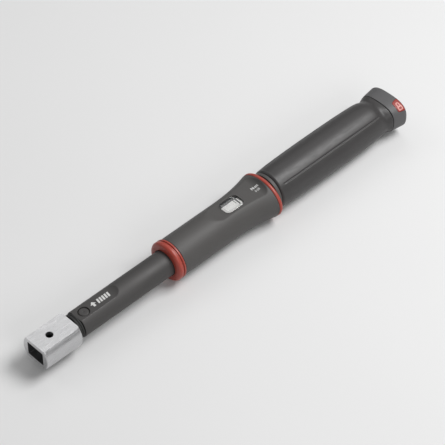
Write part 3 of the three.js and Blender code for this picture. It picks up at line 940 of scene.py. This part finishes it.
def sleeve_housing():
    lip, rear_lip = 0.5, 0.2
    xs = spaced(SLEEVE.x0 + lip, RAMP_START - 1, 5) + spaced(RAMP_START, RAMP_END, 0.7)
    xs += spaced(RAMP_END + 1, SWEEP_START - 1, 2) + spaced(SWEEP_START - 0.5, SLEEVE.x1 - 0.3, 0.25)
    edge = [(SLEEVE.x0, BORE), (SLEEVE.x0, SLEEVE_RADIUS, lip), (SLEEVE.x0 + 5, SLEEVE_RADIUS)]
    outside = [(x, r, r) for x, r in rounded(edge)[1:-2]] + [sleeve_section(x) for x in xs]
    last = sleeve_section(SLEEVE.x1)
    outside.append((SLEEVE.x1, last[1] - rear_lip, last[2] - rear_lip))
    inside = [(SLEEVE.x1, BORE, BORE), (SLEEVE.x0, BORE, BORE)]
    angles = with_dense(FLAT_CORNER_ANGLES, 12, 0.75)
    body = lathe("sleeve_housing", outside + inside + outside[:1], angles, sleeve_shape)
    well = lathe("well", rounded([
        (0, 0), (0, SCREW_HOLE), (WELL_FLOOR, SCREW_HOLE), (WELL_FLOOR, WELL_RADIUS),
        (11.3, WELL_RADIUS, 0.2), (12, WELL_MOUTH), (FAR, WELL_MOUTH), (FAR, 0),
    ]), SMALL_ROUND, to_tool=hanging(SLEEVE_SCREW.x))
    end = SLEEVE.x1 + 1
    channel = rectangle((CHANNEL_START + end) / 2, 0, end - CHANNEL_START, CHANNEL_WIDTH)
    return cut(
        body,
        prism("channel", channel, 0, CHANNEL_TOP),
        prism("opening", window_outline(0), 0, FAR),
        well,
    )


def window_bezel():
    """The window's frame: a low lip outside, and a slope down to the lens inside."""
    lip, top, under, bottom = 0.4, 0.14, -0.3, -0.65
    profile = rounded([
        (-BEZEL, bottom), (-BEZEL, -0.5, 0.1), (-0.1, top, 0.15), (lip, top, 0.2), (lip, under),
        (-0.05, under), (-0.05, bottom),
    ], closed=True)[:-1]
    rings, points = [], []
    for offset, rise in profile:
        outline = window_outline(offset)
        rings.append(range(len(points), len(points) + len(outline)))
        points += [(x, y, FLAT_HEIGHT + rise) for x, y in outline]
    faces = []
    for a, b in zip(rings, rings[1:] + rings[:1]):
        n = len(a)
        faces += [(a[i], a[(i + 1) % n], b[(i + 1) % n], b[i]) for i in range(n)]
    return new_piece("window_bezel", points, faces)


fit(sleeve_housing(), "frame", "grey_plastic", ["sleeve"])
fit(window_bezel(), "frame", "grey_plastic")


def lens_cover():
    """A clear cover, slightly crowned near its edge."""
    margin = BEZEL + 0.03
    top = WINDOW.z0 + 0.2
    reach, crown, steps = 2.2, 0.4, 9
    points, rings = [], []
    for i in range(steps):
        t = (i / (steps - 1)) ** 1.5
        outline = window_outline(-margin - reach * t)
        rings.append(range(len(points), len(points) + len(outline)))
        points += [(x, y, top + crown * (1 - (1 - t) ** 2)) for x, y in outline]
    n = len(rings[0])
    faces = [tuple(rings[-1])]
    for a, b in zip(rings, rings[1:]):
        faces += [(a[j], a[(j + 1) % n], b[(j + 1) % n], b[j]) for j in range(n)]
    base = range(len(points), len(points) + n)
    points += [(x, y, WINDOW.z0) for x, y in window_outline(-margin)]
    faces.append(tuple(base))
    faces += [(rings[0][j], rings[0][(j + 1) % n], base[(j + 1) % n], base[j]) for j in range(n)]
    return new_piece("lens_cover", points, faces)


fit(lens_cover(), "frame", "clear_lens", ["window_lens"])


def socket_screw(name, to_tool, shank_end, base, top, shank, head, socket, depth):
    """A cap screw: places along it, then its radii, then how deep its hexagon socket is."""
    body = lathe(name, rounded([
        (shank_end, 0), (shank_end, shank, 0.2), (base, shank), (base, head, 0.15),
        (top, head, 0.35), (top, 0),
    ]), SMALL_ROUND, to_tool=to_tool)
    hexagon = [(socket * math.cos(a), socket * math.sin(a)) for a in even_angles(6)]
    hole = prism("hexagon", hexagon, top - depth, top + 1, lambda u, v, h: to_tool(h, u, v))
    return bevelled(cut(body, hole), FINE_BEVEL, 2, 50)


fit(socket_screw(
    "sleeve_screw_steel", hanging(SLEEVE_SCREW.x),
    shank_end=6.3, base=9.9, top=-SLEEVE_SCREW.z0, shank=1.25, head=2.6, socket=1.3, depth=0.8,
), "frame", "black_steel", ["sleeve_screw"])


# ---------------------------------------------------------------- scale, printed marks and a band of painted shade

SCALE = Span("scale_slide")
TRAVEL = 12.25
DIVISIONS, TICKS_PER_DIVISION = 4, 2
FIRST_VALUE, VALUE_STEP = 5, 5
INDEX_X = 147.2
BAND_LOW, BAND_HIGH = 1.9, 4.7
LONG_TICK, SHORT_TICK, TICK_WIDTH = -2.9, -1.0, 0.3
SUNK, PRINT = 0.02, 0.05


def lettering(name, text, size, x, y, bold, height, depth):
    """Raised letters, read from the near side, on the surface whose height at x is height(x)."""
    curve = bpy.data.curves.new(name, "FONT")
    curve.body = text
    curve.size = size
    curve.align_x, curve.align_y = "CENTER", "CENTER"
    curve.extrude = depth / 2
    curve.offset = bold
    curve.resolution_u = 4
    source = bpy.data.objects.new(name, curve)
    bpy.context.collection.objects.link(source)
    graph = bpy.context.evaluated_depsgraph_get()
    mesh = bpy.data.meshes.new_from_object(source.evaluated_get(graph))
    bpy.data.objects.remove(source)
    for vertex in mesh.vertices:
        u, v, w = vertex.co
        vertex.co = place(x + u, y + v, height(x + u) + w)
    piece = bpy.data.objects.new(name, mesh)
    bpy.context.collection.objects.link(piece)
    return piece


def scale_strip():
    """The slide, with a hole for its screw and a recess for the screw's head."""
    outline = rectangle(SCALE.x, 0, SCALE.length, SCALE.width, 0.6)
    at_screw = rising(Span("scale_screw").x)
    return bevelled(cut(
        prism("scale_strip", outline, SCALE.z0, SCALE.z1),
        drill(0, 1.1, at_screw),
        drill(SCALE.z1 - 0.2, 1.7, at_screw),
    ), FINE_BEVEL, 2)


def printed(name, outline):
    """A thin shape on the slide, for its print and for its band of painted shade."""
    return prism(name, outline, SCALE.z1 - SUNK, SCALE.z1 + PRINT)


def scale_marks():
    """A black band along the slide's far side, painted shade where the window's far wall shades the slide,
    and ticks across the rest of it.
    """
    spacing = TRAVEL / DIVISIONS
    band_middle = (BAND_LOW + BAND_HIGH) / 2
    # The band is painted shade: black laid along the side that the window's far wall shades.
    marks = [printed("band", rectangle(SCALE.x, band_middle, SCALE.length - 0.4, BAND_HIGH - BAND_LOW))]
    for i in range(-1, DIVISIONS * TICKS_PER_DIVISION + 1):
        near = SHORT_TICK if i % TICKS_PER_DIVISION else LONG_TICK
        x = INDEX_X + i * spacing / TICKS_PER_DIVISION
        marks.append(printed("tick", rectangle(x, (near + BAND_LOW) / 2, TICK_WIDTH, BAND_LOW - near)))
    return merged("scale_marks", marks)


def scale_numbers():
    """White numbers on the black band."""
    height = SCALE.z1 + PRINT + 0.01
    numbers = []
    for i in range(DIVISIONS + 1):
        number = str(FIRST_VALUE + i * VALUE_STEP)
        x = INDEX_X + i * TRAVEL / DIVISIONS
        numbers.append(lettering(
            "number", number, size=2.5, x=x, y=3.2, bold=0.02, height=lambda _: height, depth=0.04,
        ))
    return merged("scale_numbers", numbers)


def index_line():
    """The reading line under the lens."""
    far, near, width = BAND_LOW + 0.4, -2.6, 0.95
    low, high = WINDOW.z0 - 0.09, WINDOW.z0 - 0.03
    return prism("index_line", rectangle(INDEX_X, (far + near) / 2, width, far - near), low, high)


fit(scale_strip(), "setting_nut", "scale_white", ["scale_slide"])
fit(scale_marks(), "setting_nut", "black_plastic", material=BLACK_PRINT_AND_SHADE)
fit(scale_numbers(), "setting_nut", "scale_white", material=WHITE_PRINT)
fit(index_line(), "frame", "black_plastic", material=BLACK_PRINT_AND_SHADE)

UNIT_X = 160.8


def unit_mark():
    """The unit and the range, printed on the sleeve's flat."""
    return merged("unit_mark", [
        lettering("unit", "N·m", size=2.7, x=UNIT_X, y=0.2, bold=0.08, height=sleeve_flat, depth=0.06),
        lettering("range", "5-25", size=1.9, x=UNIT_X, y=-2.4, bold=0.03, height=sleeve_flat, depth=0.06),
    ])


fit(unit_mark(), "frame", "scale_white", material=WHITE_PRINT)


def direction_mark():
    """A printed arrow with bars, which shows the way to pull."""
    low, high = TUBE_FLAT - SUNK, TUBE_FLAT + 0.04
    near, far = -1.5, 1.7
    bars_start, bars, spacing, width, lean = 43.6, 5, 1.75, 1.15, 0.5
    arrow = [(40.3, near), (41.7, near), (41.7, 0.2), (42.8, 0.2), (41, 2.1), (39.2, 0.2), (40.3, 0.2)]
    marks = [prism("arrow", arrow, low, high)]
    for i in range(bars):
        x = bars_start + i * spacing
        bar = [(x, near), (x + width, near), (x + width + lean, far), (x + lean, far)]
        marks.append(prism("bar", bar, low, high))
    return merged("direction_mark", marks)


fit(direction_mark(), "frame", "scale_white", material=WHITE_PRINT)


# ---------------------------------------------------------------- grip


def grip_waist():
    """The grip's inner tube, whose flange shows behind the rear ring."""
    core, flange, outer = Span("grip_core"), 11.5, 10.3
    bush_end, bush_bore = Span("grip_bush").x1 + GAP, 9.5
    shoulder, plug_bore = core.x1 - 8.6, 9.6
    return lathe("grip_waist", rounded([
        (core.x0, bush_bore, 0.2), (core.x0, flange, 0.5), (core.x0 + 2.2, flange, 0.3),
        (core.x0 + 2.2, outer), (core.x1, outer, 0.3), (core.x1, plug_bore, 0.2), (shoulder, plug_bore),
        (shoulder, BORE), (bush_end, BORE), (bush_end, bush_bore),
    ], closed=True))


fit(grip_waist(), "grip", "grey_plastic", ["grip_core"])

SHELL = Span("grip_shell")
# Sections of the barrel's outside, as lathe() takes them.
SHELL_SECTIONS = [
    (173.6, 12.15, 12.0, 2), (178, 12.5, 12.3, 2), (185, 12.8, 12.5, 2), (200, 13.1, 12.64, 2),
    (215, 13.2, 12.64, 2), (232, 13.1, 12.6, 2), (244, 12.8, 12.4, 2), (250, 12.5, 12.15, 2),
    (253, 12.3, 11.75, 1.95), (255.4, 12.1, 10.9, 1.86), (257.6, 12.1, 10.05, 1.9),
    (259.6, 12.4, 9.7, 2.35), (261.3, 12.8, 9.62, 2.7),
]
SHELL_BORE, END_BORE, DETENT_BORE = 10.6, 8.2, 8.9
END_BORE_START = 247
GROOVE_ANGLES = (45, 135, 225, 315)
GROOVE_START, GROOVE_END, GROOVE_TAPER = 175.5, 254.5, 2.5
GROOVE_DEPTH, GROOVE_HALF = 0.42, 0.75
GRIP_PIN = Span("grip_pin")
GRIP_PIN_RADIUS = 1.25


def grip_shape(x, y, z):
    """Presses four fine grooves into the grip's outside."""
    radius = math.hypot(y, z)
    if radius < SHELL_BORE + 0.2 or not GROOVE_START < x < GROOVE_END:
        return y, z
    turn = math.degrees(math.atan2(z, y)) % 360
    off = min(abs(turn - a) for a in GROOVE_ANGLES)
    across = math.radians(off) * radius / GROOVE_HALF
    if across >= 1:
        return y, z
    end = min(x - GROOVE_START, GROOVE_END - x, GROOVE_TAPER) / GROOVE_TAPER
    depth = GROOVE_DEPTH * (1 - across**2) ** 2 * end * end * (3 - 2 * end)
    return y * (1 - depth / radius), z * (1 - depth / radius)


def grip_body():
    """The barrel: its outside, then back along its bore, with room for the detent ring."""
    shoulder = rounded([
        (SHELL.x0, SHELL_BORE), (SHELL.x0, 11.3, 0.3), (SHELL.x0 + 0.9, 12.05, 0.5), (176, 12.3),
    ])[1:-1]
    outside = [(x, r, r, 2) for x, r in shoulder] + smoothed(SHELL_SECTIONS, 0.8)
    outside += [(SHELL.x1 - 0.08, 12.75, 9.55, 2.7), (SHELL.x1, 12.6, 9.4, 2.7)]
    detent = Span("detent_ring")
    detent_start, detent_end = detent.x0 - GAP, detent.x1 + GAP
    inside = [
        (SHELL.x1, END_BORE), (detent_end, END_BORE), (detent_end, DETENT_BORE),
        (detent_start, DETENT_BORE), (detent_start, END_BORE),
        (END_BORE_START, END_BORE), (END_BORE_START, SHELL_BORE), (SHELL.x0, SHELL_BORE),
    ]
    ring = outside + [(x, r, r, 2) for x, r in inside]
    body = lathe("grip_body", ring + ring[:1], with_dense(GROOVE_ANGLES, 4.5, 0.5), grip_shape)
    return cut(body, drill(0, SCREW_HOLE, hanging(GRIP_PIN.x)))


fit(grip_body(), "grip", "black_plastic", ["grip_shell"])


def grip_pin():
    inner, outer, radius = -GRIP_PIN.z1, -GRIP_PIN.z0, GRIP_PIN_RADIUS
    return lathe("grip_pin_steel", rounded([
        (inner, 0), (inner, radius, 0.2), (outer, radius, 0.3), (outer, 0),
    ]), SMALL_ROUND, to_tool=hanging(GRIP_PIN.x))


fit(grip_pin(), "grip", "steel", ["grip_pin"])


# ---------------------------------------------------------------- lock cap and its badge

CAP = Span("lock_cap")
CAP_SQUARENESS = 2.8
# Places along the cap, with its half widths and half heights there.
CAP_SECTIONS = [(262.5, 13.0, 9.62), (265, 13.4, 9.7), (268, 13.8, 9.85), (270.3, 14.15, 9.95)]
CAP_BORE, CAP_BORE_END = 3.9, 268
CAP_SCREW_Y, CAP_SCREW_HOLE = 5.9, 1.4
CAP_WELL_FLOOR, CAP_WELL, CAP_WELL_MOUTH = 269.1, 2.4, 3.0
MARK_X, MARK_LENGTH, MARK_FRONT, MARK_REAR = 268.8, 4.8, 6, 8
MARK_DEPTH, MARK_TILT = 0.9, math.radians(50)


def tilted(u, v, h):
    """For an outline that faces out of the cap's upper near shoulder."""
    c, s = math.cos(MARK_TILT), math.sin(MARK_TILT)
    return MARK_X + u, v * c - h * s, v * s + h * c


def cap_solid(name, grow=0.0):
    """The cap's outside as a solid, this much larger round its axis."""
    front = [(CAP.x0, 12.6, 9.4), (CAP.x0 + 0.15, 12.85, 9.6)]
    rear = [(271.0, 14.15, 9.9), (271.5, 13.95, 9.7), (271.85, 13.55, 9.3), (CAP.x1, 13.0, 8.75)]
    shown = front + smoothed(CAP_SECTIONS, 0.5) + rear
    sections = [(CAP.x0, 0, 0, 2)] + [(x, w + grow, h + grow, CAP_SQUARENESS) for x, w, h in shown]
    return lathe(name, sections + [(CAP.x1, 0, 0, 2)], FINE_ROUND)


def mark_block(name, margin):
    """A block with the badge's outline, this much larger all round, that sticks out of the cap."""
    half, front, rear = MARK_LENGTH / 2 + margin, MARK_FRONT / 2 + margin, MARK_REAR / 2 + margin
    corner = 1 + margin
    corners = [(-half, -front, corner), (half, -rear, corner), (half, rear, corner), (-half, front, corner)]
    return prism(name, rounded(corners, closed=True)[:-1], 0, FAR, tilted)


def end_cap():
    pocket = cut(mark_block("pocket", 0.15), cap_solid("below", -MARK_DEPTH))
    body = cut(cap_solid("end_cap"), pocket)
    before, beyond = CAP.x0 - 1, CAP.x1 + 1
    bore = [(before, 0), (before, CAP_BORE), (CAP_BORE_END, CAP_BORE), (CAP_BORE_END, 0)]
    cut(body, lathe("bore", bore, SMALL_ROUND))
    well = [
        (0, 0), (0, CAP_SCREW_HOLE), (CAP_WELL_FLOOR, CAP_SCREW_HOLE), (CAP_WELL_FLOOR, CAP_WELL),
        (CAP.x1 - 0.3, CAP_WELL), (CAP.x1 + 0.3, CAP_WELL_MOUTH), (beyond, CAP_WELL_MOUTH), (beyond, 0),
    ]
    for side in (-1, 1):
        cut(body, lathe("well", well, SMALL_ROUND, to_tool=beside(side * CAP_SCREW_Y)))
    return body


def lock_badge():
    """The red inlay, as deep as its pocket less a small gap."""
    badge = combine(cap_solid("lock_badge"), mark_block("block", 0), "INTERSECT")
    return bevelled(cut(badge, cap_solid("below", -MARK_DEPTH + GAP)), 0.12, 2, 40)


def padlock():
    """A plain padlock in outline, raised a little above the badge."""
    middle, foot, crown, outer, inner = -1.35, -0.3, 1.1, 1.15, 0.55
    body = prism("padlock", rectangle(0, middle, 3.1, 2.7, 0.5), 0, FAR, tilted)
    cut(body, prism("middle", rectangle(0, middle, 1.7, 1.3, 0.3), -1, FAR + 1, tilted))
    outside = [(outer, foot), (outer, crown)] + arc(0, crown, outer, 0, 180, 16) + [(-outer, foot)]
    inside = [(-inner, foot), (-inner, crown)] + arc(0, crown, inner, 180, 0, 16) + [(inner, foot)]
    united(body, prism("hoop", outside + inside, 0, FAR, tilted))
    body = combine(body, cap_solid("skin", 0.06), "INTERSECT")
    return cut(body, cap_solid("below", -0.3))


fit(end_cap(), "lock", "black_plastic", ["lock_cap"], TEXTURED_BLACK_PAINTED_LIGHT, flat_faced=True)
fit(lock_badge(), "lock", "red_plastic", ["lock_mark"], BADGE_RED, flat_faced=True)
fit(padlock(), "lock", "red_plastic", material=PINK_PRINT)

for side, name in ((-1, "left"), (1, "right")):
    node = Span("cap_screw_" + name)
    fit(socket_screw(
        f"cap_screw_{name}_steel", beside(side * CAP_SCREW_Y),
        shank_end=node.x0, base=269.4, top=node.x1, shank=1.1, head=2.1, socket=1.15, depth=1.0,
    ), "lock", "black_steel", ["cap_screw_" + name])


# ---------------------------------------------------------------- main spring

SPRING = Span("main_spring")
SPRING_MEAN, SPRING_WIRE, SPRING_TURNS = 4.35, 0.8, 14
WIRE_SIDES, TURN_STEPS = 12, 36


def main_spring():
    """Round wire in a helix."""
    points, faces = [], []
    count = SPRING_TURNS * TURN_STEPS
    for i in range(count + 1):
        t = i / count
        angle = 2 * math.pi * SPRING_TURNS * t
        x = SPRING.x0 + SPRING_WIRE + (SPRING.length - 2 * SPRING_WIRE) * t
        for k in range(WIRE_SIDES):
            b = 2 * math.pi * k / WIRE_SIDES
            r = SPRING_MEAN + SPRING_WIRE * math.cos(b)
            points.append((x + SPRING_WIRE * math.sin(b), r * math.cos(angle), r * math.sin(angle)))
    for i in range(count):
        for k in range(WIRE_SIDES):
            a, b = i * WIRE_SIDES + k, i * WIRE_SIDES + (k + 1) % WIRE_SIDES
            faces.append((a, b, b + WIRE_SIDES, a + WIRE_SIDES))
    faces.append(tuple(range(WIRE_SIDES)))
    faces.append(tuple(count * WIRE_SIDES + k for k in range(WIRE_SIDES)))
    return new_piece("main_spring_wire", points, faces)


spring = fit(main_spring(), "frame", "spring_steel", ["main_spring"])
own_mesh(spring)


# ---------------------------------------------------------------- pieces kept from the frame

for part in frame["record"]["subparts"]:
    node = frame["nodes"][part["node"]]
    if not node.hide_render:
        finished(node, MATERIALS[part["material_slot"]])


# ---------------------------------------------------------------- floor and light

# Each softbox's name, the direction it lies in, its distance, its width and height, and its watts.
SOFTBOXES = [
    ("key_softbox", (0.45, -0.31, 0.84), 1.3, 0.8, 0.6, 15),
    ("near_softbox", (-0.15, -0.85, 0.5), 1.5, 0.9, 0.5, 4),
    ("back_softbox", (-0.25, 0.75, 0.62), 1.5, 0.7, 0.5, 1.5),
    ("top_softbox", (0.48, 0.5, 0.73), 1.5, 0.9, 0.5, 2),
]
SKY_STRENGTH = 0.25
FLOOR_HALF = 3


def add_floor():
    half = FLOOR_HALF
    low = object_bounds()[0].z
    mesh = bpy.data.meshes.new("floor")
    corners = [(-half, -half, low), (half, -half, low), (half, half, low), (-half, half, low)]
    mesh.from_pydata(corners, [], [(0, 1, 2, 3)])
    floor = bpy.data.objects.new("floor", mesh)
    bpy.context.collection.objects.link(floor)
    mesh.materials.append(pale_floor())


def add_softbox(name, direction, distance, width, height, watts):
    light = bpy.data.objects.new(name, bpy.data.lights.new(name, "AREA"))
    bpy.context.collection.objects.link(light)
    light.data.shape = "RECTANGLE"
    light.data.size, light.data.size_y = width, height
    light.data.energy = watts
    away = Vector(direction).normalized()
    light.location = away * distance
    light.rotation_mode = "QUATERNION"
    light.rotation_quaternion = away.to_track_quat("Z", "Y")


def add_world():
    world = bpy.data.worlds.new("studio")
    world.use_nodes = True
    background = world.node_tree.nodes["Background"]
    background.inputs["Color"].default_value = (1, 1, 1, 1)
    background.inputs["Strength"].default_value = SKY_STRENGTH
    bpy.context.scene.world = world


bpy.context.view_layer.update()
add_floor()
for softbox in SOFTBOXES:
    add_softbox(*softbox)
add_world()
bpy.context.scene.view_settings.view_transform = "Standard"
